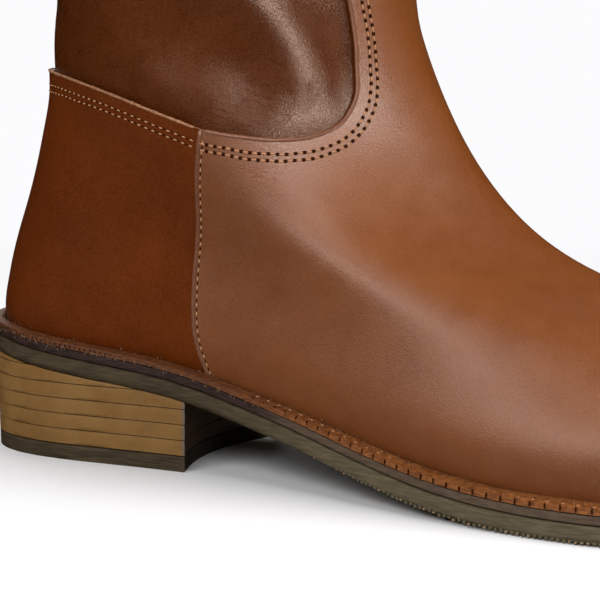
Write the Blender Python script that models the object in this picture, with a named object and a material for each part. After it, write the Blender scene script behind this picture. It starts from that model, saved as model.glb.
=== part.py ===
"""A knee-high leather boot for the right foot, standing empty on its sole.

Metres, +Z up, the toe towards +X and the outer side towards -Y. Lengths along the boot are measured
from the back edge of the sole; the origin is on the floor, in the middle of the heel's bottom face.
"""
import math

import bpy
import numpy as np

# Sole
SOLE_LENGTH = 0.275
BALL_WIDTH = 0.0955
HEEL_HEIGHT = 0.0262
TOE_SPRING = 0.010
OUTSOLE_THICKNESS = 0.0040
MIDSOLE_THICKNESS = 0.0018
MIDSOLE_STEP = 0.0007
EDGE_ROUNDING = 0.0008
CLEARANCE = 0.0003

# Heel
HEEL_LENGTH = 0.0682
HEEL_INSET = 0.0006
HEEL_PITCH = 0.0012
BREAST_HOLLOW = 0.0060
TOP_LIFT_THICKNESS = 0.0040
LIFT_THICKNESS = 0.0038

# Upper
ANKLE_HEIGHT = 0.112
BOOT_HEIGHT = 0.410
SHAFT_AXIS = 0.0679
CALF_LENGTH = 0.121
CALF_WIDTH = 0.110
UPPER_WALL = 0.0022
COUNTER_THICKNESS = 0.0012
VAMP_THICKNESS = 0.0017
STRIP_DEPTH = 0.0065
INSOLE_THICKNESS = 0.0030
INSOLE_MARGIN = 0.0003

# Welt
WELT_THICKNESS = 0.0015
WELT_EDGE = 0.0012
WELT_EDGE_INSET = 0.0003
FEATHER_INSET = 0.0076
FEATHER_INSET_HEEL = 0.0053
FEATHER_SWELL = 0.0007

# Mesh
SEGMENTS = 48
STATIONS = 7
FOOT_RINGS_PER_SECTION = 2
LEG_RINGS = 9
BREAST_POINTS = 9
SEAM_POINTS = 12
COUNTER_TOP_POINTS = 10
VAMP_TOP_POINTS = 16
SHARP_ANGLE = math.radians(35)

# Underside of the sole: place as a share of its length, heights as shares of heel height and toe spring
UNDERSIDE = (
    # along, heel, toe
    (0.000, 1.000, 0.00),
    (0.125, 0.821, 0.00),
    (0.242, 0.674, 0.00),
    (0.307, 0.515, 0.00),
    (0.380, 0.353, 0.00),
    (0.471, 0.112, 0.00),
    (0.553, 0.012, 0.00),
    (0.613, 0.000, 0.00),
    (0.762, 0.000, 0.00),
    (0.853, 0.000, 0.27),
    (0.927, 0.000, 0.60),
    (1.000, 0.000, 1.00),
)

# Centre line of the sole: place as a share of its length, side step as a share of ball width
CENTRE_LINE = (
    # along, side
    (0.00, 0.000),
    (0.226, 0.000),
    (0.394, -0.055),
    (0.523, -0.067),
    (0.633, -0.054),
    (0.811, -0.003),
    (0.950, 0.030),
    (1.00, 0.036),
)

# Half widths of the sole at the stations, as shares of half the ball width
#            heel   seat   waist  ball   toe    tip
SOLE_SHAPE = (0.500, 0.594, 0.668, 0.990, 0.886, 0.513)

# Sections of the foot. Places along are shares of the sole's length, heights are shares of the way
# from the sole's top to the ankle, half widths are shares of half the ball width. "dip" is how much
# of the sole's curve the section follows, "swing" how much of its centre line.
FOOT_SECTIONS = (
    # back_x, back_z, front_x, front_z, dip, swing, heel, seat, waist, ball, toe, tip
    (0.0182, 0.135, 0.9692, 0.107, 1.00, 1.00, 0.430, 0.535, 0.570, 0.870, 0.835, 0.500),
    (0.0258, 0.248, 0.9494, 0.180, 1.00, 0.95, 0.425, 0.545, 0.570, 0.815, 0.740, 0.380),
    (0.0400, 0.386, 0.8948, 0.263, 0.95, 0.90, 0.420, 0.550, 0.570, 0.705, 0.545, 0.250),
    (0.0538, 0.511, 0.7564, 0.311, 0.80, 0.80, 0.415, 0.565, 0.600, 0.615, 0.435, 0.190),
    (0.0648, 0.630, 0.6254, 0.364, 0.60, 0.60, 0.405, 0.585, 0.650, 0.580, 0.370, 0.160),
    (0.0735, 0.749, 0.5364, 0.462, 0.30, 0.40, 0.390, 0.615, 0.710, 0.600, 0.350, 0.150),
    (0.0740, 0.862, 0.4709, 0.624, 0.10, 0.20, 0.380, 0.640, 0.765, 0.660, 0.380, 0.170),
    (0.0765, 0.950, 0.4292, 0.822, 0.00, 0.10, 0.370, 0.650, 0.795, 0.715, 0.450, 0.210),
    (0.0855, 1.050, 0.4044, 1.005, 0.00, 0.00, 0.370, 0.660, 0.805, 0.745, 0.515, 0.255),
)

# Sections of the leg. Height is a share of the way from ankle to collar, back and front are shares of
# the calf's length from the shaft's axis, width is a share of the calf's width.
LEG_SECTIONS = (
    # height, back, front, width
    (0.095, -0.365, 0.350, 0.715),
    (0.245, -0.395, 0.352, 0.765),
    (0.430, -0.470, 0.372, 0.860),
    (0.630, -0.530, 0.400, 0.945),
    (0.830, -0.545, 0.425, 0.985),
    (1.000, -0.550, 0.450, 1.000),
)
#            heel   seat   waist  ball   toe    tip
LEG_SHAPE = (0.455, 0.820, 1.000, 0.955, 0.720, 0.370)

# Panel edges: place along as a share of the sole's length, height as a share of the way from the
# sole's top to the ankle.
COUNTER_TOP = (
    (-0.100, 0.800),
    (0.020, 0.815),
    (0.107, 0.812),
    (0.192, 0.764),
    (0.280, 0.678),
)
SIDE_SEAM = (
    (0.280, 0.678),
    (0.268, 0.488),
    (0.256, 0.240),
    (0.257, 0.120),
    (0.268, 0.020),
    (0.285, -0.150),
)
VAMP_TOP = (
    (0.280, 0.678),
    (0.314, 0.670),
    (0.344, 0.667),
    (0.366, 0.684),
    (0.382, 0.720),
    (0.389, 0.780),
    (0.387, 0.880),
    (0.381, 1.000),
)

MATERIALS = {
    # colour, roughness
    "shaft_leather": ((0.060, 0.014, 0.004, 1.0), 0.42),
    "vamp_leather": ((0.105, 0.032, 0.012, 1.0), 0.38),
    "counter_leather": ((0.075, 0.017, 0.004, 1.0), 0.45),
    "lining_leather": ((0.330, 0.190, 0.090, 1.0), 0.65),
    "welt_leather": ((0.240, 0.090, 0.025, 1.0), 0.55),
    "midsole_board": ((0.030, 0.014, 0.012, 1.0), 0.60),
    "sole_rubber": ((0.085, 0.062, 0.032, 1.0), 0.60),
    "lift_board": ((0.270, 0.130, 0.045, 1.0), 0.50),
}


def curve(at, knots, values, monotone=False):
    """Smooth curve through the values at the knots, read at the given places."""
    knots = np.asarray(knots, float)
    values = np.asarray(values, float)
    slopes = np.gradient(values, knots, axis=0)
    if monotone:
        secants = np.diff(values) / np.diff(knots)
        before = np.concatenate((secants[:1], secants))
        after = np.concatenate((secants, secants[-1:]))
        limit = 3 * np.minimum(abs(before), abs(after))
        slopes = np.where(before * after > 0, np.clip(slopes, -limit, limit), 0)
    at = np.asarray(at, float)
    span = np.clip(np.searchsorted(knots, at, side="right") - 1, 0, len(knots) - 2)
    width = knots[span + 1] - knots[span]
    share = np.clip((at - knots[span]) / width, 0, 1)
    if values.ndim > 1:
        column = (-1,) + (1,) * (values.ndim - 1)
        width = width.reshape(column)
        share = share.reshape(column)
    return (
        values[span] * (1 + 2 * share) * (1 - share) ** 2
        + slopes[span] * width * share * (1 - share) ** 2
        + values[span + 1] * (3 - 2 * share) * share ** 2
        + slopes[span + 1] * width * share ** 2 * (share - 1)
    )


def turns():
    """Angles round a section: 0 at the back, half a turn at the front, the outer side first."""
    return np.arange(SEGMENTS) * 2 * math.pi / SEGMENTS


def half_widths(shape):
    """Half widths round a section from those at the stations, outer side positive."""
    station = np.arange(1, STATIONS)
    wave = np.outer(station, station) * math.pi / STATIONS
    weights = 2 / STATIONS * np.sin(wave) @ np.asarray(shape)
    return np.sin(np.outer(turns(), station)) @ weights


def rungs():
    """Places of the outline's points along the sole, as shares of its length."""
    return (1 - np.cos(turns()[:SEGMENTS // 2 + 1])) / 2


def underside(x):
    """Height of the sole's lower face at a place along it, straight between the outline's points."""
    along, heel, toe = np.array(UNDERSIDE).T
    heights = curve(rungs(), along, heel * HEEL_HEIGHT + toe * TOE_SPRING, monotone=True)
    return np.interp(x / SOLE_LENGTH, rungs(), heights)


def sole_top(x):
    """Height of the midsole's upper face."""
    return underside(x) + OUTSOLE_THICKNESS + CLEARANCE + MIDSOLE_THICKNESS


def above_sole(x):
    """Height at which a piece lies on the midsole."""
    return sole_top(x) + CLEARANCE


def centre_line(x):
    along, side = np.array(CENTRE_LINE).T
    return curve(x / SOLE_LENGTH, along, side * BALL_WIDTH)


def inwards(loop):
    """Unit vectors in plan that point into a closed loop, one for each of its points."""
    along = np.roll(loop[:, :2], -1, axis=0) - np.roll(loop[:, :2], 1, axis=0)
    inward = np.column_stack((-along[:, 1], along[:, 0]))
    return inward / np.linalg.norm(inward, axis=1)[:, None]


def sole_outline(inset=0.0):
    """Outline of the sole in plan, moved in by an inset."""
    x = SOLE_LENGTH * (1 - np.cos(turns())) / 2
    y = centre_line(x) - half_widths(SOLE_SHAPE) * BALL_WIDTH / 2
    loop = np.column_stack((x, y))
    return loop + inwards(loop) * np.reshape(inset, (-1, 1))


def at_height(plan, height):
    """Points of a plan outline, each at the height that a function of its place gives."""
    return np.column_stack((plan[:, :2], height(plan[:, 0])))


def feather_loop(swell, rise):
    """Section of the upper by the sole: its inset is smaller at the heel."""
    share = (1 - np.cos(turns())) / 2
    blend = curve(share, (0.0, 0.2, 0.5, 1.0), (0.0, 0.15, 1.0, 1.0), monotone=True)
    inset = FEATHER_INSET_HEEL + (FEATHER_INSET - FEATHER_INSET_HEEL) * blend - swell
    return at_height(sole_outline(inset), lambda x: above_sole(x) + rise)


def foot_loop(row):
    back_x, back_z, front_x, front_z, dip, swing = row[:6]
    share = (1 - np.cos(turns())) / 2
    ends = np.array((back_x, front_x)) * SOLE_LENGTH
    x = ends[0] + (ends[1] - ends[0]) * share
    y = swing * centre_line(x) - half_widths(row[6:]) * BALL_WIDTH / 2
    floor = sole_top(ends)
    heights = floor + (ANKLE_HEIGHT - floor) * np.array((back_z, front_z))
    sag = sole_top(x) - floor[0] - (floor[1] - floor[0]) * share
    z = heights[0] + (heights[1] - heights[0]) * share + dip * sag
    return np.column_stack((x, y, z))


def leg_loop(row):
    height, back, front, width = row
    share = (1 - np.cos(turns())) / 2
    x = SHAFT_AXIS + CALF_LENGTH * (back + (front - back) * share)
    y = -half_widths(LEG_SHAPE) * width * CALF_WIDTH / 2
    z = np.full(SEGMENTS, ANKLE_HEIGHT + height * (BOOT_HEIGHT - ANKLE_HEIGHT))
    return np.column_stack((x, y, z))


def upper_rings():
    """Closed rings of the upper's outer face, from the sole to the collar."""
    loops = [feather_loop(0.0, 0.0), feather_loop(FEATHER_SWELL, WELT_THICKNESS + CLEARANCE)]
    loops += [foot_loop(row) for row in FOOT_SECTIONS]
    loops += [leg_loop(row) for row in LEG_SECTIONS]
    loops = np.array(loops)
    steps = np.linalg.norm(np.diff(loops, axis=0), axis=2).mean(axis=1)
    knots = np.concatenate(((0.0,), np.cumsum(steps)))
    ankle = len(FOOT_SECTIONS) + 1
    foot = np.interp(np.arange(1, ankle, 1 / FOOT_RINGS_PER_SECTION), np.arange(len(knots)), knots)
    leg = np.linspace(knots[ankle], knots[-1], LEG_RINGS)
    return curve(np.concatenate(((0.0,), foot, leg)), knots, loops)


def ring_normals(rings):
    """Outward unit vectors at the rings' points, level at the two open edges."""
    around = np.roll(rings, -1, axis=1) - np.roll(rings, 1, axis=1)
    upward = np.gradient(rings, axis=0)
    normals = np.cross(around, upward)
    normals[[0, 1, -1], :, 2] = 0
    return normals / np.linalg.norm(normals, axis=2)[:, :, None]


def shell(rings, outer, inner):
    """Loops round the wall of a shell that lies between two distances from the rings."""
    normals = ring_normals(rings)
    outside = rings + normals * outer
    inside = rings + normals * inner
    for face in (outside, inside):
        face[0] = at_height(face[0], above_sole)
    return list(outside) + list(inside[::-1])


def heel_outline(z):
    """Outline of the heel at a height, with the hollow of its breast at the front."""
    loop = sole_outline(HEEL_INSET)
    loop[:, 0] += HEEL_PITCH * (1 - z / HEEL_HEIGHT) * np.clip(1 - loop[:, 0] / HEEL_LENGTH, 0, 1)
    behind = loop[:, 0] < HEEL_LENGTH - BREAST_HOLLOW / 2
    side = loop[behind & (turns() <= math.pi)]
    other = loop[behind & (turns() > math.pi)]
    half = loop[turns() <= math.pi]
    corner = np.interp(HEEL_LENGTH, half[:, 0], half[:, 1])
    breast_y = np.linspace(corner, -corner, BREAST_POINTS)
    breast_x = HEEL_LENGTH - BREAST_HOLLOW * (1 - (breast_y / corner) ** 2)
    breast = np.column_stack((breast_x, breast_y))
    plan = np.vstack((side, breast, other))
    return np.column_stack((plan, np.full(len(plan), z)))


def ring_faces(loop_count, size, closed):
    """Triangles between neighbouring loops; a closed set joins its last loop to the first.

    The wall's inner half runs the other way, and its quads are split along the same diagonals.
    """
    faces = []
    for row in range(loop_count if closed else loop_count - 1):
        above = (row + 1) % loop_count
        for point in range(size):
            after = (point + 1) % size
            quad = (row * size + point, row * size + after, above * size + after, above * size + point)
            if closed and row >= loop_count // 2:
                faces += [(quad[0], quad[1], quad[3]), quad[1:]]
            else:
                faces += [quad[:3], (quad[0], quad[2], quad[3])]
    return faces


def ladder(size, first, flip):
    """Faces that close a loop with rungs from one side to the other."""
    half = size // 2
    faces = [(0, 1, size - 1), (half - 1, half, half + 1)]
    faces += [(rung, rung + 1, size - rung - 1, size - rung) for rung in range(1, half - 1)]
    return [tuple(first + point for point in (face[::-1] if flip else face)) for face in faces]


def add_object(name, points, faces, material):
    """A named object whose mesh lies in the boot's frame."""
    mesh = bpy.data.meshes.new(name)
    placed = np.asarray(points) - np.array((HEEL_LENGTH / 2, 0, 0))
    mesh.from_pydata(placed.tolist(), [], faces)
    mesh.update()
    piece = bpy.data.objects.new(name, mesh)
    bpy.context.scene.collection.objects.link(piece)
    if material:
        mesh.materials.append(material)
    mesh.shade_smooth()
    mesh.set_sharp_from_angle(angle=SHARP_ANGLE)
    return piece


def ring_solid(name, loops, material):
    """A solid that runs round the boot; its loops go once round its own section."""
    faces = ring_faces(len(loops), SEGMENTS, closed=True)
    return add_object(name, np.vstack(loops), faces, material)


def layer_solid(name, loops, material):
    """A flat layer of the sole, from its lowest loop to its highest."""
    top = (len(loops) - 1) * SEGMENTS
    faces = ring_faces(len(loops), SEGMENTS, closed=False)
    faces += ladder(SEGMENTS, 0, flip=True) + ladder(SEGMENTS, top, flip=False)
    return add_object(name, np.vstack(loops), faces, material)


def prism(name, first, second, material=None):
    """A solid between two like outlines, each closed by one face."""
    size = len(first)
    faces = ring_faces(2, size, closed=False)
    faces += [tuple(range(size))[::-1], tuple(range(size, 2 * size))]
    return add_object(name, np.vstack((first, second)), faces, material)


def as_cutter(piece):
    piece.hide_render = True
    piece.display_type = "WIRE"
    return piece


def combine(piece, cutter, operation):
    cut = piece.modifiers.new(operation.lower(), "BOOLEAN")
    cut.operation = operation
    cut.solver = "EXACT"
    cut.object = cutter


def panel_points(shares, count):
    """Smooth edge of a panel through points that are given as shares."""
    table = np.array(shares)
    knots = np.concatenate(((0.0,), np.cumsum(np.linalg.norm(np.diff(table, axis=0), axis=1))))
    spread = curve(np.linspace(0, knots[-1], count), knots, table)
    x = spread[:, 0] * SOLE_LENGTH
    floor = sole_top(x)
    return np.column_stack((x, floor + spread[:, 1] * (ANKLE_HEIGHT - floor)))


def side_prism(name, outline):
    """A cutter that runs across the boot behind an outline drawn on its side, given anticlockwise."""
    reach = CALF_WIDTH
    x, z = np.array(outline).T
    near = np.column_stack((x, np.full(len(x), -reach), z))
    far = np.column_stack((x, np.full(len(x), reach), z))
    return as_cutter(prism(name, far, near))


def front_strip(rings):
    """Back edge of the strip up the front of the shaft, from the ankle to above the collar."""
    front = rings[:, SEGMENTS // 2]
    leg = front[front[:, 2] > ANKLE_HEIGHT + STRIP_DEPTH]
    edge = leg[:, (0, 2)] - np.array((STRIP_DEPTH, 0))
    return np.vstack((edge, edge[-1:] + np.array((0, STRIP_DEPTH))))


def make_materials():
    made = {}
    for name, (colour, roughness) in MATERIALS.items():
        material = bpy.data.materials.new(name)
        material.use_nodes = True
        surface = material.node_tree.nodes["Principled BSDF"]
        surface.inputs["Base Color"].default_value = colour
        surface.inputs["Roughness"].default_value = roughness
        surface.inputs["Metallic"].default_value = 0.0
        made[name] = material
    return made


def make_sole(materials):
    """Outsole and midsole."""
    lowered = sole_outline(EDGE_ROUNDING)
    outline = sole_outline()
    layer_solid("outsole", [
        at_height(lowered, underside),
        at_height(outline, lambda x: underside(x) + EDGE_ROUNDING),
        at_height(outline, lambda x: underside(x) + OUTSOLE_THICKNESS),
    ], materials["sole_rubber"])
    stepped = sole_outline(MIDSOLE_STEP)
    layer_solid("midsole", [
        at_height(stepped, lambda x: underside(x) + OUTSOLE_THICKNESS + CLEARANCE),
        at_height(stepped, sole_top),
    ], materials["midsole_board"])


def make_heel(materials):
    """Top lift on the floor and the stack above it, cut off by the sloping seat."""
    along = rungs() * SOLE_LENGTH
    x = np.concatenate(((-HEEL_LENGTH,), along[along < HEEL_LENGTH * 2]))
    seat = np.column_stack((x, underside(x) - CLEARANCE))
    above = HEEL_HEIGHT * 2
    seat_cutter = side_prism("seat_cutter", [*seat, (x[-1], above), (x[0], above)])
    high = TOP_LIFT_THICKNESS - CLEARANCE
    prism("top_lift", heel_outline(0), heel_outline(high), materials["sole_rubber"])
    count = math.ceil((HEEL_HEIGHT - CLEARANCE - TOP_LIFT_THICKNESS) / LIFT_THICKNESS)
    for number in range(count):
        low = TOP_LIFT_THICKNESS + number * LIFT_THICKNESS
        high = low + LIFT_THICKNESS - CLEARANCE
        name = f"heel_lift_{number + 1}"
        lift = prism(name, heel_outline(low), heel_outline(high), materials["lift_board"])
        combine(lift, seat_cutter, "DIFFERENCE")


def make_upper(rings, materials):
    """The hollow leather wall of foot and shaft, and the overlays on it."""
    ring_solid("upper", shell(rings, 0, -UPPER_WALL), materials["shaft_leather"])
    low = -HEEL_HEIGHT
    back = -HEEL_LENGTH
    front = SOLE_LENGTH + HEEL_LENGTH
    seam = panel_points(SIDE_SEAM, SEAM_POINTS)
    counter_seam = seam - np.array((CLEARANCE / 2, 0))
    vamp_seam = seam + np.array((CLEARANCE / 2, 0))
    counter_top = panel_points(COUNTER_TOP, COUNTER_TOP_POINTS)
    vamp_top = panel_points(VAMP_TOP, VAMP_TOP_POINTS)
    strip = front_strip(rings)
    wall = shell(rings, CLEARANCE + COUNTER_THICKNESS, CLEARANCE)
    counter = ring_solid("counter", wall, materials["counter_leather"])
    outline = [(back, low), (counter_seam[-1, 0], low), *counter_seam[::-1], *counter_top[-2::-1]]
    combine(counter, side_prism("counter_cutter", outline), "INTERSECT")
    wall = shell(rings, CLEARANCE + VAMP_THICKNESS, CLEARANCE)
    vamp = ring_solid("vamp", wall, materials["vamp_leather"])
    outline = [(vamp_seam[-1, 0], low), (front, low), (front, strip[-1, 1])]
    outline += [*strip[::-1], *vamp_top[:0:-1], *vamp_seam[:-1]]
    combine(vamp, side_prism("vamp_cutter", outline), "INTERSECT")


def make_welt(rings, materials):
    """The welt between the upper's foot and the edge of the sole."""
    reach = CLEARANCE + VAMP_THICKNESS + CLEARANCE
    inner_low, inner_high = shell(rings, reach, 0)[:2]
    edge = sole_outline(WELT_EDGE_INSET)
    bottom = at_height(edge, above_sole)
    top = at_height(edge, lambda x: above_sole(x) + WELT_EDGE)
    ring_solid("welt", [bottom, top, inner_high, inner_low], materials["welt_leather"])


def make_insole(rings, materials):
    """The insole on the midsole, inside the wall of the upper."""
    inside = shell(rings, -(UPPER_WALL + INSOLE_MARGIN), 0)[0]
    thickness = np.array((0, 0, INSOLE_THICKNESS))
    layer_solid("insole", [inside, inside + thickness], materials["lining_leather"])


def main():
    for piece in list(bpy.data.objects):
        bpy.data.objects.remove(piece, do_unlink=True)
    materials = make_materials()
    rings = upper_rings()
    make_sole(materials)
    make_heel(materials)
    make_welt(rings, materials)
    make_insole(rings, materials)
    make_upper(rings, materials)


main()
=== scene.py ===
"""Looks of a knee-high leather boot for the right foot.

Leathers, folds, stitches, welt, sole and stacked heel. Metres, +Z up, the toe towards +X and the outer side
towards -Y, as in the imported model.
"""
import math

import bmesh
import bpy
import numpy as np
from mathutils import Matrix, Vector
from mathutils.bvhtree import BVHTree

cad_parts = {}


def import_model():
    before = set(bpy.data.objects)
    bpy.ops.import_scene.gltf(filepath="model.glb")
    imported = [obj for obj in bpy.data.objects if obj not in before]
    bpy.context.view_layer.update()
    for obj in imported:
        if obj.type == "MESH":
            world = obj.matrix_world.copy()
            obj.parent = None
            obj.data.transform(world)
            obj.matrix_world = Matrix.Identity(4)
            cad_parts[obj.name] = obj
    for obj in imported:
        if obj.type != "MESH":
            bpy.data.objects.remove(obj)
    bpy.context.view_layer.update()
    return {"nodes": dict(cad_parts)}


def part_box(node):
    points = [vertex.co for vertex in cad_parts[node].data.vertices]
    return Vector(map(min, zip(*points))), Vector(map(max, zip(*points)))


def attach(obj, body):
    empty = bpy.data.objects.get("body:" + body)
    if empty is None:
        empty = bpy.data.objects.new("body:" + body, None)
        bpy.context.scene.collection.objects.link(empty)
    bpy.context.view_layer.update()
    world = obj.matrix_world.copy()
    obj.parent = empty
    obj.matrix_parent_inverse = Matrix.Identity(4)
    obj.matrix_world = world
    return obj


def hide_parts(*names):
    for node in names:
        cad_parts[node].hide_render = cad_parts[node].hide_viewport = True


MM = 0.001
HALF_SPAN = 0.1  # farther from the middle plane than any part of the boot
SUBDIVISION = 2
SMOOTH_ANGLE = math.radians(38)
WALL_ANGLE = 50

# Camera
CAMERA_PLACE = (0.24164, -0.40407, 0.09175)
CAMERA_BACK = (0.42311, -0.89873, 0.11518)
CAMERA_ROLL = math.radians(0.462)
CAMERA_LENS = 108.95

# Leather of the upper
OVERLAY_GAP = 0.0003
VAMP_THICKNESS = 0.0017
COUNTER_THICKNESS = 0.0012
STRIP_DEPTH = 0.0065
ANKLE = 0.112
SHAFT_AXIS = 0.0338

# Stitching
STITCH_PITCH = 0.0021
STITCH_WIDTH = 0.00042
EDGE_SIGHT = 0.0003
ROW_INSET = 0.0031
ROW_SPACING = 0.0016
SEAM_INSET = 0.0010
COLLAR_INSET = 0.0040

# Details of the welt and the tread, by pitch and by place along the boot
NOTCH_PITCH = 0.0034
NOTCH_START = 0.052
NICK_PITCH = 0.00145
NICK_END = 0.056
FEATHER_PITCH = 0.0009
LUMP_PITCH = 0.0013
LUMP_START = 0.066
FIBRE_ROWS = 3

# Edges of the panels, seen from the outer side: place along the boot and height
COUNTER_EDGE = (
    # x, z
    (-0.0520, 0.0968),
    (-0.0286, 0.0972),
    (-0.0050, 0.0955),
    (0.0187, 0.0903),
    (0.0330, 0.0858),
    (0.0429, 0.0825),
)
SEAM = (
    # x, z
    (0.0429, 0.0825),
    (0.0396, 0.0640),
    (0.0366, 0.0440),
    (0.0366, 0.0330),
    (0.0396, 0.0220),
    (0.0443, 0.0080),
)
VAMP_EDGE = (
    # x, z
    (0.0429, 0.0825),
    (0.0523, 0.0811),
    (0.0605, 0.0805),
    (0.0668, 0.0813),
    (0.0714, 0.0838),
    (0.0738, 0.0888),
    (0.0735, 0.0984),
    (0.0714, 0.1118),
)

# Folds of the shaft: side (outer -1, inner 1), how far the leather stands out there in mm (negative for
# a trough), half width in mm, and the places of the fold's line as x and z in mm
FOLDS = {
    "ridge": (
        -1, 2.0, 6.4,
        ((33, 123), (43, 119), (51, 114), (57, 108), (60.5, 102), (62.5, 96), (64, 90), (65, 84))),
    "hollow": (-1, -1.6, 8.0, ((26, 105), (35, 103), (43, 100), (49, 96.5), (53, 93), (56, 89), (58, 84))),
    "swell": (-1, 1.1, 8.5, ((-16, 118), (4, 118), (22, 118), (36, 119), (48, 118))),
    "upper_swell": (-1, 0.9, 9.0, ((2, 124), (16, 120), (30, 121), (44, 127))),
    "upper_hollow": (-1, -1.1, 8.0, ((-14, 136), (6, 134), (26, 137), (46, 146))),
    "calf_swell": (-1, 0.9, 14.0, ((-18, 168), (8, 160), (34, 164), (60, 176))),
    "inner_ridge": (1, 1.4, 5.0, ((30, 118), (44, 114), (54, 107), (60, 99), (62, 90))),
    "inner_hollow": (1, -1.9, 5.5, ((16, 107), (32, 106), (44, 102), (53, 96), (57, 89))),
    "inner_bulge": (1, 1.0, 6.5, ((8, 97), (24, 97), (38, 93), (50, 86))),
    "inner_swell": (1, -1.0, 9.0, ((-12, 138), (10, 133), (34, 138), (56, 149))),
}


class Wire:
    """An output socket of a shader, with arithmetic."""

    def __init__(self, shader, socket):
        self.shader = shader
        self.socket = socket

    def maths(self, operation, other, clamp=False):
        return self.shader.node(
            "ShaderNodeMath", {"operation": operation, "use_clamp": clamp}, {0: self, 1: other})

    def __add__(self, other):
        return self.maths("ADD", other)

    def __radd__(self, other):
        return self.maths("ADD", other)

    def __rsub__(self, other):
        return self.shader.node("ShaderNodeMath", {"operation": "SUBTRACT"}, {0: other, 1: self})

    def __mul__(self, other):
        return self.maths("MULTIPLY", other)

    def clamp(self):
        """The value held between 0 and 1."""
        return self.maths("ADD", 0.0, clamp=True)

    def ramp(self, low, high):
        """0 below low, 1 above high, smooth between them."""
        return self.shader.node(
            "ShaderNodeMapRange", {"interpolation_type": "SMOOTHSTEP"},
            {"Value": self, "From Min": low, "From Max": high})


class Shader:
    """A material's nodes: surface values are set by name, and wires are made from its places."""

    def __init__(self, name, roughness, **settings):
        self.material = bpy.data.materials.new(name)
        self.material.use_nodes = True
        self.tree = self.material.node_tree
        self.surface = self.tree.nodes["Principled BSDF"]
        self.surface.inputs["Roughness"].default_value = roughness
        for socket, value in settings.items():
            self.surface.inputs[socket.replace("_", " ")].default_value = value
        self.place = self.node("ShaderNodeTexCoord", output="Object")

    def node(self, kind, settings=None, sockets=None, output=0):
        """The output of a new node with its settings, and its sockets set or wired."""
        made = self.tree.nodes.new(kind)
        for key, value in (settings or {}).items():
            setattr(made, key, value)
        for key, value in (sockets or {}).items():
            if isinstance(value, Wire):
                self.tree.links.new(value.socket, made.inputs[key])
            else:
                made.inputs[key].default_value = value
        return Wire(self, made.outputs[output])

    def scaled(self, factors):
        """The piece's own coordinates, each axis times a factor."""
        return self.node("ShaderNodeMapping", None, {"Vector": self.place, "Scale": factors})

    def noise(self, size, detail, roughness, place=None, distortion=0.0):
        """Soft noise around 0.5 whose bumps are about one size across, in metres."""
        return self.node(
            "ShaderNodeTexNoise", None,
            {"Vector": place or self.place, "Scale": 1 / size, "Detail": detail,
             "Roughness": roughness, "Distortion": distortion})

    def cells(self, size):
        """Distance to the nearest cell's centre, cells of one size in metres."""
        return self.node(
            "ShaderNodeTexVoronoi", {"feature": "F1"},
            {"Vector": self.place, "Scale": 1 / size, "Randomness": 1.0}, output="Distance")

    def blend(self, share, first, second):
        """First colour where the share is 0, second where it is 1."""
        sockets = {0: share}
        for number, colour in ((6, first), (7, second)):
            sockets[number] = colour if isinstance(colour, Wire) else (*colour, 1.0)
        return self.node("ShaderNodeMix", {"data_type": "RGBA"}, sockets, output=2)

    def near(self, spot, reach):
        """1 at a spot, falling to 0 at its reach."""
        gap = self.node(
            "ShaderNodeVectorMath", {"operation": "DISTANCE"}, {0: self.place, 1: spot}, output="Value")
        return 1 - gap.ramp(reach * 0.3, reach)

    def along_boot(self):
        """The place along the boot, heel to toe."""
        return self.node("ShaderNodeSeparateXYZ", None, {0: self.place})

    def feed(self, **wires):
        """Wires into the surface's sockets."""
        for socket, wire in wires.items():
            self.tree.links.new(wire.socket, self.surface.inputs[socket.replace("_", " ")])
        return self

    def relief(self, *layers):
        """Bumps from pairs of a height wire and the height of its full range in metres."""
        normal = None
        for height, reach in layers:
            sockets = {"Height": height, "Distance": reach, "Strength": 1.0}
            if normal:
                sockets["Normal"] = normal
            normal = self.node("ShaderNodeBump", None, sockets)
        return self.feed(Normal=normal)


def leather(name, dark, mid, light, roughness, wrinkled=(), **settings):
    """Smooth dyed leather: cloudy colour, fine grain, pores, specks of dust and wrinkles round some places."""
    shader = Shader(name, roughness, **settings)
    clouds = shader.noise(0.045, 3.0, 0.55)
    mottle = shader.noise(0.006, 4.0, 0.6)
    pebble = shader.cells(0.0007)
    fine = shader.noise(0.00032, 2.0, 0.6)
    tone = (clouds * 0.75 + mottle * 0.35).ramp(0.32, 0.78)
    colour = shader.blend(tone, dark, mid)
    speck = (fine * 0.6 + pebble * 0.4).ramp(0.30, 0.62)
    colour = shader.blend(speck * 0.07, colour, light)
    dust = shader.cells(0.021).ramp(0.022, 0.012)
    colour = shader.blend(dust * 0.5, colour, light)
    gloss = (mottle * 0.5 + fine * 0.5).ramp(0.25, 0.75) * 0.14 + (roughness - 0.07)
    shader.feed(Base_Color=colour, Roughness=gloss)
    layers = [(mottle, 0.000005), (pebble, 0.000010), (fine, 0.00007)]
    if wrinkled:
        near = sum(shader.near(*place) for place in wrinkled).clamp()
        crinkle = shader.noise(0.0014, 3.0, 0.6, shader.scaled((0.5, 0.7, 1.2)), 0.4)
        layers.append((crinkle * near, 0.00018))
    shader.relief(*layers)
    return shader


def plain(name, colour, roughness, grain, depth, second=None, **settings):
    """A simple finish with one scale of grain in colour and bump."""
    shader = Shader(name, roughness, **settings)
    noise = shader.noise(grain, 4.0, 0.6)
    shade = second or tuple(part * 0.55 for part in colour)
    shader.feed(Base_Color=shader.blend(noise.ramp(0.3, 0.7), shade, colour))
    shader.relief((noise, depth))
    return shader


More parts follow.
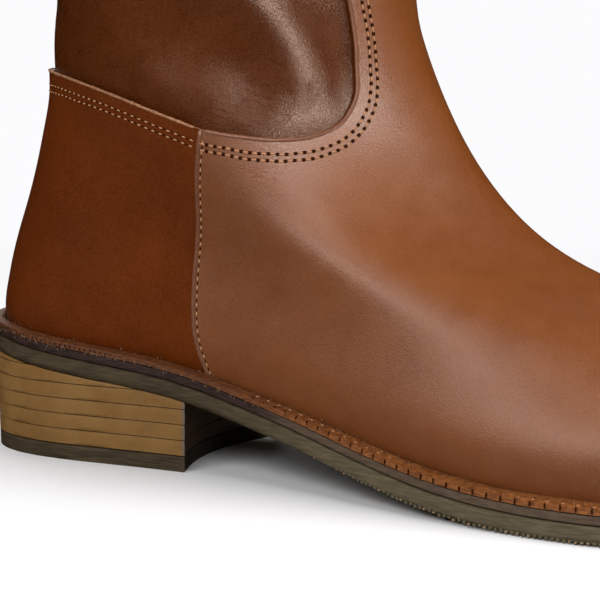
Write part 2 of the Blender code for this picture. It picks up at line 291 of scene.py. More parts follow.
def streaked(name, roughness, grain, streaks, waist, fore, change, depth):
    """The streaky edge of a layer of the sole, whose two colours at the waist change to two at the forefoot."""
    shader = Shader(name, roughness, Specular_IOR_Level=0.15)
    streak = shader.noise(grain, 4.0, 0.6, shader.scaled(streaks))
    share = streak.ramp(0.3, 0.7)
    behind, ahead = shader.blend(share, *waist), shader.blend(share, *fore)
    shader.feed(Base_Color=shader.blend(shader.along_boot().ramp(*change), behind, ahead))
    shader.relief((streak, depth))
    return shader


def stacked_board():
    """Cut board of the heel's lifts: cloudy and specked, greyer on the heel's front face, dark on top."""
    shader = Shader("stacked_board", 0.5, Specular_IOR_Level=0.15)
    speck = shader.noise(0.00035, 3.0, 0.7, shader.scaled((0.6, 0.6, 1.4)))
    cloud = shader.noise(0.012, 3.0, 0.6)
    colour = shader.blend(cloud.ramp(0.35, 0.65), (0.180, 0.087, 0.021), (0.215, 0.112, 0.030))
    colour = shader.blend(speck.ramp(0.52, 0.70) * 0.65, colour, (0.070, 0.030, 0.009))
    front = shader.along_boot().ramp(0.0331, 0.0335)
    colour = shader.blend(front * 0.5, colour, (0.10, 0.105, 0.11))
    facing = shader.node("ShaderNodeSeparateXYZ", None, {0: shader.node("ShaderNodeTexCoord", output="Normal")})
    colour = shader.blend(facing.ramp(0.4, 0.7) * 0.8, colour, (0.060, 0.034, 0.022))
    shader.feed(Base_Color=colour)
    shader.relief((speck, 0.00003))
    return shader


def make_materials():
    """All finishes of the boot, by the names that the pieces ask for."""
    made = {}
    made["shaft"] = leather(
        "shaft_leather", (0.046, 0.0080, 0.0003), (0.078, 0.0150, 0.0004), (0.30, 0.12, 0.05), 0.28,
        [((0.056, -0.034, 0.083), 0.018), ((0.056, 0.034, 0.083), 0.018)],
        Specular_IOR_Level=0.24, Specular_Tint=(1.0, 0.78, 0.62, 1.0))
    made["vamp"] = leather(
        "vamp_leather", (0.132, 0.033, 0.0045), (0.170, 0.047, 0.0070), (0.38, 0.17, 0.08), 0.38,
        [((0.060, -0.036, 0.0775), 0.013), ((0.060, 0.036, 0.0775), 0.013), ((0.086, -0.02, 0.100), 0.015),
         ((0.095, 0.0, 0.090), 0.016)], Specular_IOR_Level=0.65, Specular_Tint=(1.0, 0.90, 0.84, 1.0))
    made["counter"] = leather(
        "counter_leather", (0.076, 0.0120, 0.0003), (0.112, 0.0200, 0.0004), (0.30, 0.12, 0.05), 0.34,
        Specular_IOR_Level=0.08, Specular_Tint=(1.0, 0.75, 0.55, 1.0))
    made["lining"] = leather("lining_leather", (0.30, 0.18, 0.09), (0.40, 0.26, 0.14), (0.50, 0.35, 0.2), 0.62)
    made["cut"] = plain("cut_edge", (0.36, 0.16, 0.065), 0.7, 0.0006, 0.0001, (0.17, 0.06, 0.02))
    made["dark_cut"] = plain("dyed_cut_edge", (0.26, 0.11, 0.05), 0.6, 0.0006, 0.0001, (0.13, 0.04, 0.014))
    made["roll"] = plain("rolled_edge", (0.18, 0.060, 0.022), 0.42, 0.0010, 0.00006, (0.13, 0.040, 0.014))
    made["thread"] = plain("pale_thread", (0.50, 0.27, 0.12), 0.65, 0.0002, 0.00004)
    made["rust_thread"] = plain("rust_thread", (0.46, 0.19, 0.07), 0.65, 0.0002, 0.00004)
    # Stitch holes, needle holes, welt notches and waist nicks are flat dark beads in this colour: painted shade
    # of these small recesses, which are not cut into the leather.
    made["pit"] = plain("painted_recess_shade", (0.032, 0.009, 0.003), 0.9, 0.0003, 0.00002, Specular_IOR_Level=0.0)
    made["welt"] = streaked(
        "welt_leather", 0.6, 0.0008, (0.5, 0.5, 2),
        ((0.065, 0.020, 0.007), (0.135, 0.045, 0.014)), ((0.110, 0.032, 0.008), (0.260, 0.090, 0.022)),
        (0.035, 0.085), 0.00010)
    made["midsole"] = streaked(
        "dyed_edge", 0.55, 0.0010, (0.25, 0.25, 2),
        ((0.016, 0.008, 0.007), (0.045, 0.022, 0.016)), ((0.070, 0.040, 0.026), (0.110, 0.078, 0.048)),
        (0.052, 0.068), 0.00008)
    made["sole"] = streaked(
        "sole_edge", 0.6, 0.0010, (0.2, 0.2, 2.5),
        ((0.032, 0.021, 0.011), (0.068, 0.047, 0.022)), ((0.070, 0.053, 0.028), (0.125, 0.098, 0.056)),
        (0.030, 0.090), 0.00008)
    made["fibre"] = plain("loose_fibre", (0.42, 0.24, 0.13), 0.8, 0.0005, 0.00003, (0.26, 0.12, 0.05))
    made["lift"] = stacked_board()
    made["insole"] = plain("insole_leather", (0.34, 0.20, 0.10), 0.6, 0.0012, 0.00008)
    return made


def curve_through(points, step):
    """Evenly spaced places on a smooth line through points."""
    table = np.asarray(points, float)
    knots = np.concatenate(((0.0,), np.cumsum(np.linalg.norm(np.diff(table, axis=0), axis=1))))
    slopes = np.gradient(table, knots, axis=0)
    dense = np.linspace(0, knots[-1], 40 * len(table))
    span = np.clip(np.searchsorted(knots, dense, side="right") - 1, 0, len(knots) - 2)
    width = (knots[span + 1] - knots[span])[:, None]
    share = (dense[:, None] - knots[span][:, None]) / width
    line = (
        table[span] * (1 + 2 * share) * (1 - share) ** 2
        + slopes[span] * width * share * (1 - share) ** 2
        + table[span + 1] * (3 - 2 * share) * share ** 2
        + slopes[span + 1] * width * share ** 2 * (share - 1)
    )
    return spaced(line, step)


def spaced(line, step):
    """Places on a line at an even step, from its start to its end."""
    run = np.concatenate(((0.0,), np.cumsum(np.linalg.norm(np.diff(line, axis=0), axis=1))))
    count = max(2, int(round(run[-1] / step)) + 1)
    at = np.linspace(0, run[-1], count)
    return np.column_stack([np.interp(at, run, column) for column in line.T])


def choose(piece):
    """Only this piece is selected and active."""
    bpy.ops.object.select_all(action="DESELECT")
    piece.select_set(True)
    bpy.context.view_layer.objects.active = piece


def twin(source, name):
    """A copy of a node or piece with its own mesh, its loose triangles joined into a clean surface."""
    piece = source.copy()
    piece.data = source.data.copy()
    piece.parent = None
    piece.name = piece.data.name = name
    for key in list(piece.keys()):
        del piece[key]
    bpy.context.scene.collection.objects.link(piece)
    choose(piece)
    bpy.ops.object.mode_set(mode="EDIT")
    bpy.ops.mesh.select_all(action="SELECT")
    bpy.ops.mesh.remove_doubles(threshold=0.000005)
    bpy.ops.mesh.tris_convert_to_quads(face_threshold=math.radians(50), shape_threshold=math.radians(60))
    bpy.ops.object.mode_set(mode="OBJECT")
    return piece


def soften(piece, crease=1.0, angle=40):
    """Rounds a piece with a subdivision surface that keeps its sharp edges."""
    choose(piece)
    bpy.ops.object.mode_set(mode="EDIT")
    bpy.ops.mesh.select_mode(type="EDGE")
    bpy.ops.mesh.select_all(action="DESELECT")
    bpy.ops.mesh.edges_select_sharp(sharpness=math.radians(angle))
    bpy.ops.transform.edge_crease(value=crease)
    bpy.ops.object.mode_set(mode="OBJECT")
    smooth = piece.modifiers.new("smooth", "SUBSURF")
    smooth.levels = smooth.render_levels = SUBDIVISION
    bpy.ops.object.modifier_apply(modifier="smooth")
    return piece


def finish(piece, materials, node=None):
    """Gives a piece its materials and ties it to the model."""
    marks = np.zeros(len(piece.data.polygons), dtype=np.int32)
    piece.data.polygons.foreach_get("material_index", marks)
    piece.data.materials.clear()
    for shader in materials:
        piece.data.materials.append(shader.material)
    piece.data.polygons.foreach_set("material_index", np.minimum(marks, len(materials) - 1))
    choose(piece)
    bpy.ops.object.shade_smooth_by_angle(angle=SMOOTH_ANGLE)
    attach(piece, "root")
    if node:
        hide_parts(node)
    return piece


def points_of(piece):
    """A piece's points as a table."""
    places = np.empty(len(piece.data.vertices) * 3)
    piece.data.vertices.foreach_get("co", places)
    return places.reshape(-1, 3)


def normals_of(piece):
    """The normals at a piece's points as a table."""
    normals = np.empty(len(piece.data.vertices) * 3)
    piece.data.vertex_normals.foreach_get("vector", normals)
    return normals.reshape(-1, 3)


def place_points(piece, places):
    """Moves a piece's points to a table of places."""
    piece.data.vertices.foreach_set("co", np.asarray(places, float).ravel())
    piece.data.update()


def mark_walls(piece):
    """Material places of the upper: 0 outside, 1 inside, 2 the cut rims."""
    mesh = bmesh.new()
    mesh.from_mesh(piece.data)
    mesh.faces.ensure_lookup_table()
    tip = max(mesh.faces, key=lambda face: face.calc_center_median().x)
    for face in mesh.faces:
        face.material_index = 1
    queue = [tip]
    tip.material_index = 0
    while queue:
        face = queue.pop()
        for edge in face.edges:
            if len(edge.link_faces) != 2 or edge.calc_face_angle(0) > math.radians(WALL_ANGLE):
                continue
            for other in edge.link_faces:
                if other.material_index:
                    other.material_index = 0
                    queue.append(other)
    tree = BVHTree.FromBMesh(mesh)
    for face in mesh.faces:
        facing_wall = tree.ray_cast(face.calc_center_median() + face.normal * 0.0005, face.normal, 0.15)[0]
        if face.material_index == 0 and facing_wall:
            face.material_index = 1
    for face in mesh.faces:
        if face.material_index and any(
                near.material_index == 0 for edge in face.edges for near in edge.link_faces):
            face.material_index = 2
    mesh.to_mesh(piece.data)
    mesh.free()


def divide_leg(piece, cuts):
    """Cuts the tall faces of the leg into more rows."""
    choose(piece)
    mesh = bmesh.new()
    mesh.from_mesh(piece.data)
    tall = [
        edge for edge in mesh.edges
        if edge.verts[0].co.z + edge.verts[1].co.z > 2 * ANKLE + 0.004
        and abs(edge.verts[0].co.z - edge.verts[1].co.z) > 0.85 * edge.calc_length()
    ]
    bmesh.ops.subdivide_edges(mesh, edges=tall, cuts=cuts, use_grid_fill=True)
    mesh.to_mesh(piece.data)
    mesh.free()


def fold_amount(places, side, depth, half_width, line):
    """How far a fold moves the leather at each place; it fades at its ends and at its edges."""
    line = curve_through(np.array(line) * MM, 0.002)
    spot = places[:, (0, 2)]
    gaps = np.linalg.norm(spot[:, None, :] - line[None, :, :], axis=2)
    nearest = gaps.argmin(axis=1)
    along = nearest / (len(line) - 1)
    ends = np.clip(along / 0.3, 0, 1) * np.clip((1 - along) / 0.22, 0, 1)
    ends = ends * ends * (3 - 2 * ends)
    here = np.clip(0.5 + places[:, 1] * side / 0.02, 0, 1)
    return depth * MM * ends * here * np.exp(-(gaps.min(axis=1) / (half_width * MM)) ** 2)


def fold_leather(form):
    """Soft troughs and ridges round the ankle, pushed out from the shaft's axis."""
    places = points_of(form)
    near = (places[:, 2] > 0.07) & (places[:, 2] < 0.21)
    moved = places[near]
    amount = sum(fold_amount(moved, *fold) for fold in FOLDS.values())
    outward = (moved - (SHAFT_AXIS, 0, 0)) * (1, 1, 0)
    outward /= np.linalg.norm(outward, axis=1)[:, None]
    places[near] = moved + outward * amount[:, None]
    place_points(form, places)


def make_form(frame):
    """The upper as a smooth folded wall."""
    form = twin(frame["nodes"]["upper"], "folded_upper")
    mark_walls(form)
    soften(form, 0.8, WALL_ANGLE)
    divide_leg(form, 2)
    fold_leather(form)
    return form


def front_line(tree, z):
    """Place of the shaft's front at a height."""
    hit = tree.ray_cast(Vector((0.4, 0, z)), Vector((-1, 0, 0)))[0]
    return hit.x


def panel_outlines(form):
    """Outlines of counter and vamp on the boot's side, and the edge lines that the stitches follow."""
    tree = BVHTree.FromObject(form, bpy.context.evaluated_depsgraph_get())
    counter_edge = curve_through(COUNTER_EDGE, 0.0015)
    seam = curve_through(SEAM, 0.0015)
    vamp_edge = curve_through(VAMP_EDGE, 0.0012)
    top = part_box("upper")[1].z
    heights = np.linspace(ANKLE + 0.012, top - 0.0005, 60)
    strip = np.array([(front_line(tree, z) - STRIP_DEPTH, z) for z in heights])
    bend = curve_through([*vamp_edge[-6::5], *strip[:12:3]], 0.0012)
    vamp_edge = np.vstack((vamp_edge[:-6], bend, strip[12:]))
    low = -0.01
    half = OVERLAY_GAP / 2
    counter = [(-0.07, low), (seam[-1][0] - half, low), *(seam[::-1] - (half, 0)), *counter_edge[-2::-1]]
    over = (strip[-1][0], top + 0.01)
    vamp = [
        (seam[-1][0] + half, low), (0.3, low), (0.3, over[1]), over, *vamp_edge[:0:-1],
        *(seam[:-1] + (half, 0))]
    return {"counter": counter, "vamp": vamp}, {"counter": counter_edge, "vamp": vamp_edge, "seam": seam}


def cutter(outline):
    """A block across the boot behind an outline on its side."""
    bpy.ops.object.select_all(action="DESELECT")
    bpy.ops.mesh.primitive_circle_add(vertices=len(outline), radius=1, fill_type="NGON")
    block = bpy.context.object
    places = [(x, -HALF_SPAN, z) for x, z in outline]
    place_points(block, places)
    bpy.ops.object.mode_set(mode="EDIT")
    bpy.ops.mesh.select_all(action="SELECT")
    bpy.ops.mesh.extrude_region_move(TRANSFORM_OT_translate={"value": (0, 2 * HALF_SPAN, 0)})
    bpy.ops.mesh.select_all(action="SELECT")
    bpy.ops.mesh.normals_make_consistent(inside=False)
    bpy.ops.object.mode_set(mode="OBJECT")
    return block


def make_overlay(form, name, outline, thickness, keep):
    """A leather panel on the upper, cut to its outline."""
    panel = twin(form, name)
    mesh = bmesh.new()
    mesh.from_mesh(panel.data)
    spare = [face for face in mesh.faces if face.material_index or not keep(face.calc_center_median())]
    bmesh.ops.delete(mesh, geom=spare, context="FACES")
    mesh.to_mesh(panel.data)
    mesh.free()
    place_points(panel, points_of(panel) + normals_of(panel) * OVERLAY_GAP)
    choose(panel)
    wall = panel.modifiers.new("thickness", "SOLIDIFY")
    wall.thickness = thickness
    wall.offset = 1
    bpy.ops.object.modifier_apply(modifier="thickness")
    block = cutter(outline)
    choose(panel)
    cut = panel.modifiers.new("cut", "BOOLEAN")
    cut.operation = "INTERSECT"
    cut.solver = "EXACT"
    cut.object = block
    bpy.ops.object.modifier_apply(modifier="cut")
    bpy.data.objects.remove(block)
    return panel


def mark_cut_edge(panel, form):
    """Material place 1 for the faces of a panel's cut edge."""
    tree = BVHTree.FromObject(form, bpy.context.evaluated_depsgraph_get())
    for face in panel.data.polygons:
        normal = tree.find_nearest(face.center)[1]
        face.material_index = 1 if abs(normal.dot(face.normal)) < 0.6 else 0


def on_surface(tree, places, side):
    """Points and normals of a piece under places on its side view."""
    found = []
    for x, z in places:
        hit, normal, _, _ = tree.ray_cast(Vector((x, side * HALF_SPAN, z)), Vector((0, -side, 0)))
        if hit is not None:
            found.append((hit, normal))
    return found


def edge_row(tree, places, side, inset, turn=1):
    """Points and normals on a panel just inside its outline, as its side view shows it."""
    places = np.asarray(places, float)
    along = np.gradient(places, axis=0)
    across = np.column_stack((along[:, 1], -along[:, 0])) * turn
    across /= np.linalg.norm(across, axis=1)[:, None]
    found = on_surface(tree, places + across * inset, side)
    return tuple(np.array([tuple(part) for part in column]) for column in zip(*found))


def inset_row(tree, places, side, inset, step, turn=1):
    """Points and normals of a row that runs on a panel at a distance from its edge."""
    edge, normals = edge_row(tree, places, side, EDGE_SIGHT, turn)
    along = np.gradient(edge, axis=0)
    across = np.cross(normals, along)
    across /= np.linalg.norm(across, axis=1)[:, None]
    outside = edge + across * inset * turn * side + normals * ROW_INSET * min(1, inset / ROW_INSET)
    row = [tree.find_nearest(Vector(point))[0] for point in outside]
    line = spaced(np.array([tuple(point) for point in row]), step)
    found = [tree.find_nearest(Vector(point)) for point in line]
    return line, np.array([tuple(hit[1]) for hit in found])


def beads(name, template, rows, material, lift=0.0):
    """One piece that repeats a small shape along rows of points."""
    base = np.array([vertex.co[:] for vertex in template.data.vertices])
    faces = [tuple(face.vertices) for face in template.data.polygons]
    places, polygons = [], []
    for line, normals in rows:
        along = np.gradient(line, axis=0)
        along /= np.linalg.norm(along, axis=1)[:, None]
        for point, forward, up in zip(line, along, normals):
            side = np.cross(up, forward)
            side /= np.linalg.norm(side)
            up = np.cross(forward, side)
            first = len(places) * len(base)
            places.append(point + up * lift + base @ np.array((forward, side, up)))
            polygons += [tuple(first + corner for corner in face) for face in faces]
    mesh = bpy.data.meshes.new(name)
    mesh.from_pydata(np.vstack(places).tolist(), [], polygons)
    piece = bpy.data.objects.new(name, mesh)
    bpy.context.scene.collection.objects.link(piece)
    return finish(piece, [material])


def small_shape(size, segments=8):
    """A small rounded shape of length, width and height, for rows of beads."""
    bpy.ops.object.select_all(action="DESELECT")
    bpy.ops.mesh.primitive_uv_sphere_add(
        segments=segments, ring_count=4, radius=0.5, rotation=(0, math.pi / 2, 0))
    shape = bpy.context.object
    shape.data.transform(Matrix.Diagonal((*size, 1)) @ shape.matrix_world)
    shape.matrix_world = Matrix.Identity(4)
    return shape


def tube(name, lines, radius, material, sides=8, ripple=0.0):
    """Round strands along lines of points, a little uneven along their run."""
    mesh = bmesh.new()
    turn = np.arange(sides) * 2 * math.pi / sides
    for line, normals in lines:
        along = np.gradient(line, axis=0)
        along /= np.linalg.norm(along, axis=1)[:, None]
        side = np.cross(normals, along)
        side /= np.linalg.norm(side, axis=1)[:, None]
        up = np.cross(along, side)
        run = np.arange(len(line))
        waves = np.sin(run * 1.7) + np.sin(run * 0.61 + 1) + np.sin(run * 3.1 + 2)
        thick = radius * (1 + ripple * waves / 3)
        thick[[0, -1]] *= 0.3
        rings = []
        for point, flat, high, size in zip(line, side, up, thick):
            ring = point + size * (np.outer(np.cos(turn), flat) + np.outer(np.sin(turn), high))
            rings.append([mesh.verts.new(place) for place in ring])
        for low, above in zip(rings, rings[1:]):
            for number in range(sides):
                after = (number + 1) % sides
                mesh.faces.new((low[number], low[after], above[after], above[number]))
        mesh.faces.new(rings[0][::-1])
        mesh.faces.new(rings[-1])
    data = bpy.data.meshes.new(name)
    bmesh.ops.recalc_face_normals(mesh, faces=mesh.faces)
    mesh.to_mesh(data)
    mesh.free()
    piece = bpy.data.objects.new(name, data)
    bpy.context.scene.collection.objects.link(piece)
    return finish(piece, [material])


def make_raw_edges(trees, edges, materials):
    """The pale raw edge of the counter and vamp, and the rolled edge along the side seam."""
    counter, vamp, seam = [], [], []
    for side in (-1, 1):
        line, normals = edge_row(trees["counter"], edges["counter"][4:], side, 0.0001)
        counter.append((spaced(line - normals * 0.0001, 0.0006), normals))
        line, normals = edge_row(trees["vamp"], edges["vamp"][:-1], side, 0.0003)
        vamp.append((spaced(line - normals * 0.0003, 0.0006), normals))
        line, normals = edge_row(trees["vamp"], edges["seam"][:-8], side, 0.0003, -1)
        seam.append((spaced(line - normals * 0.0002, 0.0008), normals))
    for rows in (counter, vamp, seam):
        for number, (line, normals) in enumerate(rows):
            at = np.linspace(0, len(normals) - 1, len(line))
            even = np.column_stack([np.interp(at, np.arange(len(normals)), column) for column in normals.T])
            rows[number] = (line, even / np.linalg.norm(even, axis=1)[:, None])
    tube("counter_raw_edge", counter, 0.00034, materials["cut"], ripple=0.35)
    tube("vamp_raw_edge", vamp, 0.00055, materials["roll"], ripple=0.12)
    tube("seam_roll", seam, 0.00060, materials["roll"], ripple=0.1)


def collar_row(trees, z):
    """Points and normals of a row round the shaft, on whatever leather is outermost."""
    found = []
    axis = Vector((SHAFT_AXIS, 0, z))
    for turn in np.linspace(0, 2 * math.pi, 300):
        outward = Vector((math.cos(turn), math.sin(turn), 0))
        hits = [tree.ray_cast(axis + outward * 0.2, -outward) for tree in trees]
        found.append(min((hit for hit in hits if hit[0]), key=lambda hit: hit[3]))
    line = np.array([tuple(hit[0]) for hit in found])
    normals = np.array([tuple(hit[1]) for hit in found])
    girth = np.linalg.norm(np.diff(line, axis=0), axis=1).sum()
    at = np.linspace(0, len(line) - 1, round(girth / STITCH_PITCH))
    row = [
        np.column_stack([np.interp(at, range(len(line)), column) for column in part.T])
        for part in (line, normals)]
    return row[0], row[1] / np.linalg.norm(row[1], axis=1)[:, None]


def make_stitches(form, panels, edges, materials):
    """Double rows along the panels' edges, one row down the side seam and one under the collar."""
    depsgraph = bpy.context.evaluated_depsgraph_get()
    trees = {name: BVHTree.FromObject(panel, depsgraph) for name, panel in panels.items()}
    every_tree = [*trees.values(), BVHTree.FromObject(form, depsgraph)]
    collar = collar_row(every_tree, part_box("upper")[1].z - COLLAR_INSET)
    stitch = small_shape((0.00135, 0.00052, STITCH_WIDTH))
    short = small_shape((0.00095, STITCH_WIDTH, STITCH_WIDTH))
    hole = small_shape((0.00120, 0.00092, 0.00016))
    pinhole = small_shape((0.0007, 0.0005, 0.00012))
    counter_rows, vamp_rows, seam_rows = [], [], []
    for side in (-1, 1):
        for number in range(2):
            inset = ROW_INSET + number * ROW_SPACING
            counter_rows.append(inset_row(trees["counter"], edges["counter"][10:], side, inset, STITCH_PITCH))
            vamp_rows.append(inset_row(trees["vamp"], edges["vamp"][:-1], side, inset, STITCH_PITCH))
        seam_rows.append(inset_row(trees["vamp"], edges["seam"][2:-8], side, SEAM_INSET, STITCH_PITCH, -1))
    beads("counter_stitches", short, counter_rows, materials["thread"])
    beads("vamp_stitches", stitch, vamp_rows, materials["rust_thread"], 0.0001)
    beads("seam_stitches", short, seam_rows, materials["thread"], 0.00005)
    beads("collar_stitches", stitch, [collar], materials["rust_thread"])
    # Flat dark beads between the stitches: painted shade of the needle holes.
    between = [((line[1:] + line[:-1]) / 2, normals[1:]) for line, normals in vamp_rows]
    beads("stitch_holes", hole, between, materials["pit"], 0.00002)
    between = [((line[1:] + line[:-1]) / 2, normals[1:]) for line, normals in counter_rows + seam_rows]
    beads("needle_holes", pinhole, between, materials["pit"], 0.00002)
    for shape in (stitch, short, hole, pinhole):
        bpy.data.objects.remove(shape)
    make_raw_edges(trees, edges, materials)


def make_upper(frame, materials):
    """The folded upper, its two panels and their stitches and edges."""
    form = make_form(frame)
    outlines, edges = panel_outlines(form)
    panels = {
        "counter": make_overlay(
            form, "heel_counter", outlines["counter"], COUNTER_THICKNESS,
            lambda point: point.x < 0.06 and point.z < 0.12),
        "vamp": make_overlay(
            form, "front_vamp", outlines["vamp"], VAMP_THICKNESS,
            lambda point: point.x > 0.02 and (point.z < 0.13 or point.x > 0.05)),
    }
    for name, panel in panels.items():
        mark_cut_edge(panel, form)
        finish(panel, [materials[name], materials["dark_cut"]], name)
    make_stitches(form, panels, edges, materials)
    finish(form, [materials["shaft"], materials["lining"], materials["cut"]], "upper")


def side_loop(node, step, share):
    """Line round the upright side of a layer of the sole, a share of the way up, and its outward normals."""
    plan = {}
    for vertex in node.data.vertices:
        plan.setdefault((round(vertex.co.x, 5), round(vertex.co.y, 5)), set()).add(round(vertex.co.z, 6))
    points = [(x, y, min(z) + (max(z) - min(z)) * share) for (x, y), z in plan.items() if len(z) > 1]
    points.sort(key=lambda point: math.atan2(point[1], point[0] - 0.1))
    line = curve_through(np.array(points + points[:1]), step)
    ahead = np.roll(line[:-1], -1, axis=0) - np.roll(line[:-1], 1, axis=0)
    normals = np.column_stack((ahead[:, 1], -ahead[:, 0], np.zeros(len(ahead))))
    return line[:-1], normals / np.linalg.norm(normals, axis=1)[:, None]


def stretch(line, normals, keep):
    """The run of a closed line where keep holds, as one open row."""
    first = int(np.argmax(~keep))
    turned = np.roll(keep, -first)
    return np.roll(line, -first, axis=0)[turned], np.roll(normals, -first, axis=0)[turned]


def make_welt_details(frame, materials):
    """Wheeled notches and thread of the welt, loose fibres, and the ragged lower edge of the forefoot; the
    notches and the nicks of the waist are flat dark beads of painted shade.
    """
    rng = np.random.default_rng(7)
    nodes = frame["nodes"]
    line, normals = side_loop(nodes["welt"], NOTCH_PITCH, 0.8)
    fore, outward = stretch(line, normals, line[:, 0] > NOTCH_START)
    # The notches are flat dark beads: painted shade of the wheeled notches.
    slit = small_shape((0.00042, 0.0015, 0.0004))
    between = (fore[1:] + fore[:-1]) / 2
    beads("welt_notches", slit, [(between, outward[1:])], materials["pit"])
    thread = small_shape((0.0010, 0.0005, 0.0004))
    above = between - outward[1:] * 0.0016 + (0, 0, 0.0005)
    upwards = np.tile((0.0, 0.0, 1.0), (len(above), 1))
    beads("welt_thread", thread, [(above, upwards)], materials["rust_thread"])
    line, normals = side_loop(nodes["welt"], NICK_PITCH, 0.3)
    waist, outward = stretch(line, normals, line[:, 0] < NICK_END)
    # The nicks are flat dark beads too: painted shade of small nicks along the welt's edge.
    nick = small_shape((0.00028, 0.0007, 0.0003), 6)
    beads("waist_nicks", nick, [(waist + (0, 0, 0.0003), outward)], materials["pit"])
    fibre = small_shape((0.00010, 0.0007, 0.00010), 4)
    rows = []
    for _ in range(FIBRE_ROWS):
        pick = rng.random(len(waist)) < 0.5
        shift = rng.normal(0, 1, (pick.sum(), 3)) * (0.0005, 0.0002, 0.0003)
        rows.append((waist[pick] + outward[pick] * 0.0002 + shift - (0, 0, 0.0004), outward[pick]))
    beads("edge_fibres", fibre, rows, materials["fibre"])
    line, normals = side_loop(nodes["welt"], FEATHER_PITCH, 1.0)
    rows = []
    for number in range(FIBRE_ROWS):
        pick = rng.random(len(line)) < 0.45
        shift = rng.normal(0, 1, (pick.sum(), 3)) * (0.0004, 0.0002, 0.00025)
        inner = line[pick] - normals[pick] * (0.0040 - 0.0009 * number) + shift + (0, 0, 0.0004)
        rows.append((inner, normals[pick]))
    beads("feather_fibres", fibre, rows, materials["fibre"])
    line, normals = side_loop(nodes["outsole"], LUMP_PITCH, 0.0)
    fore, outward = stretch(line, normals, line[:, 0] > LUMP_START)
    drop = rng.random(len(fore)) * 0.0003 + 0.0001
    lump = small_shape((0.0010, 0.0009, 0.0006), 6)
    place = fore - outward * 0.0003 - np.outer(drop, (0, 0, 1))
    beads("tread_edge", lump, [(place, outward)], materials["sole"])
    pick = rng.random(len(place)) < 0.3
    crumb = small_shape((0.0005, 0.0004, 0.0003), 6)
    crumbs = (place[pick] + outward[pick] * 0.0004, outward[pick])
    beads("tread_crumbs", crumb, [crumbs], materials["fibre"])
    for shape in (slit, thread, nick, fibre, lump, crumb):
        bpy.data.objects.remove(shape)


def make_sole(frame, materials):
    """Smooth copies of the layers of the sole and heel."""
    layers = (
        ("outsole", "sole", "sole_rubber"),
        ("midsole", "midsole", "midsole_board"),
        ("welt", "welt", "welt_leather"),
        ("insole", "insole", "lining_leather"),
        ("top_lift", "sole", "sole_rubber"),
    )
    for node, finish_name, slot in layers:
        piece = soften(twin(frame["nodes"][node], f"{node}_form"))
        finish(piece, [materials[finish_name]], node)
    for number in range(1, 7):
        node = f"heel_lift_{number}"
        piece = soften(twin(frame["nodes"][node], f"{node}_form"))
        # The top rim is drawn inward and up, so that a thin dark joint shows between the lifts
        places = points_of(piece)
        inwards = normals_of(piece) * (-1, -1, 0)
        rim = (normals_of(piece)[:, 2] > 0.3) & (np.linalg.norm(inwards, axis=1) > 0.3)
        places[rim] += inwards[rim] * 0.00022
        places[rim, 2] += 0.00010
        place_points(piece, places)
        finish(piece, [materials["lift"]], node)
    make_welt_details(frame, materials)


def make_camera():
    """The photograph's camera."""
    back = Vector(CAMERA_BACK).normalized()
    level = Vector((-back.y, back.x, 0)).normalized()
    upright = back.cross(level)
    right = level * math.cos(CAMERA_ROLL) + upright * math.sin(CAMERA_ROLL)
    up = upright * math.cos(CAMERA_ROLL) - level * math.sin(CAMERA_ROLL)
    data = bpy.data.cameras.new("camera")
    data.sensor_width = 36
    data.lens = CAMERA_LENS
    camera = bpy.data.objects.new("camera", data)
    camera.matrix_world = Matrix((
        (right.x, up.x, back.x, CAMERA_PLACE[0]),
        (right.y, up.y, back.y, CAMERA_PLACE[1]),
        (right.z, up.z, back.z, CAMERA_PLACE[2]),
        (0, 0, 0, 1),
    ))
    bpy.context.scene.collection.objects.link(camera)
    bpy.context.scene.camera = camera


def make_light(name, place, target, size, power, gloss=True, spread=True):
    """An area light aimed at a target, which can be kept out of the sheen or out of the shading."""
    data = bpy.data.lights.new(name, "AREA")
    data.shape = "RECTANGLE"
    data.size, data.size_y = size
    data.energy = power
    light = bpy.data.objects.new(name, data)
    light.location = place
    light.rotation_euler = (Vector(target) - Vector(place)).to_track_quat("-Z", "Y").to_euler()
    light.visible_glossy = gloss
    light.visible_diffuse = spread
    bpy.context.scene.collection.objects.link(light)


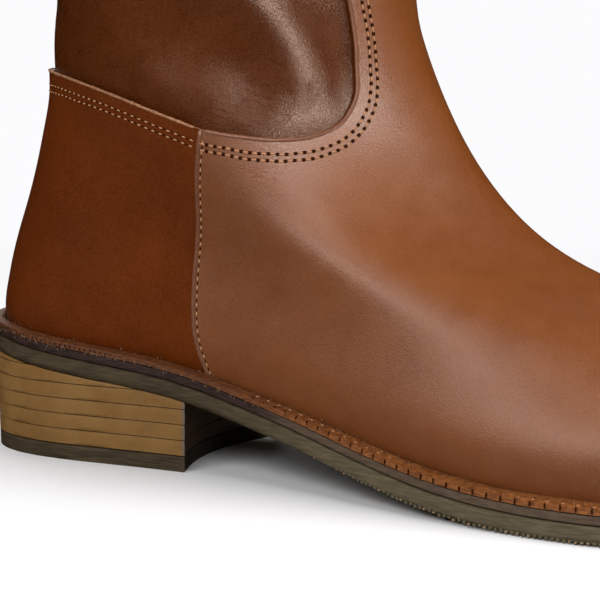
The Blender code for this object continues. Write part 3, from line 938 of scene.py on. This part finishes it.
def make_studio():
    """Pale floor, white surroundings and soft lights."""
    bpy.ops.object.select_all(action="DESELECT")
    floors = (
        # name, size, depth, and where its colour starts and ends to fade into the surroundings
        ("floor", 1.5, 0.0, 0.3, 0.72),
        ("far_floor", 9.0, 0.001, -0.2, -0.1),
    )
    for name, size, depth, start, end in floors:
        bpy.ops.mesh.primitive_plane_add(size=size)
        floor = bpy.context.object
        floor.name = name
        floor.data.transform(Matrix.Translation((0.1, 0, -depth)))
        floor.visible_glossy = False
        floor.visible_diffuse = not depth
        paint = Shader(f"{name}_paint", 0.9, Specular_IOR_Level=0.0, Emission_Strength=1.0)
        reach = paint.node("ShaderNodeVectorMath", {"operation": "LENGTH"}, {0: paint.place}, output="Value")
        far = reach.ramp(start, end)
        paint.feed(
            Base_Color=paint.blend(far, (0.80, 0.80, 0.81), (0.0, 0.0, 0.0)),
            Emission_Color=paint.blend(far, (0, 0, 0), (0.97, 0.97, 0.985)))
        floor.data.materials.append(paint.material)
    world = bpy.data.worlds.new("studio")
    world.use_nodes = True
    world.node_tree.nodes["Background"].inputs["Color"].default_value = (0.97, 0.97, 0.985, 1.0)
    world.node_tree.nodes["Background"].inputs["Strength"].default_value = 1.0
    world.cycles_visibility.diffuse = False
    world.cycles_visibility.glossy = False
    bpy.context.scene.world = world
    bpy.context.scene.view_settings.view_transform = "Standard"
    middle = (0.08, 0, 0.06)
    make_light("side", (0.10, -0.88, 0.62), middle, (1.15, 0.45), 9.0, gloss=False)
    make_light("right_sheen", (0.37, -0.76, 0.76), middle, (0.55, 0.42), 4.0, spread=False)
    make_light("left_sheen", (-0.38, -0.87, 0.40), middle, (0.62, 0.36), 4.2, spread=False)
    make_light("glint", (0.76, -0.68, 0.25), (0.05, 0, 0.11), (0.26, 0.16), 11.0, spread=False)
    make_light("top", (0.25, 0.10, 1.20), middle, (1.2, 1.2), 14.0, gloss=False)
    make_light("front", (0.98, 0.10, 0.62), middle, (0.5, 0.4), 7.0, gloss=False)
    make_light("inner", (-0.65, 0.85, 0.60), (0.05, 0, 0.15), (0.9, 0.6), 4.0)


def main():
    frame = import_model()
    make_camera()
    make_studio()
    materials = make_materials()
    make_sole(frame, materials)
    make_upper(frame, materials)


main()
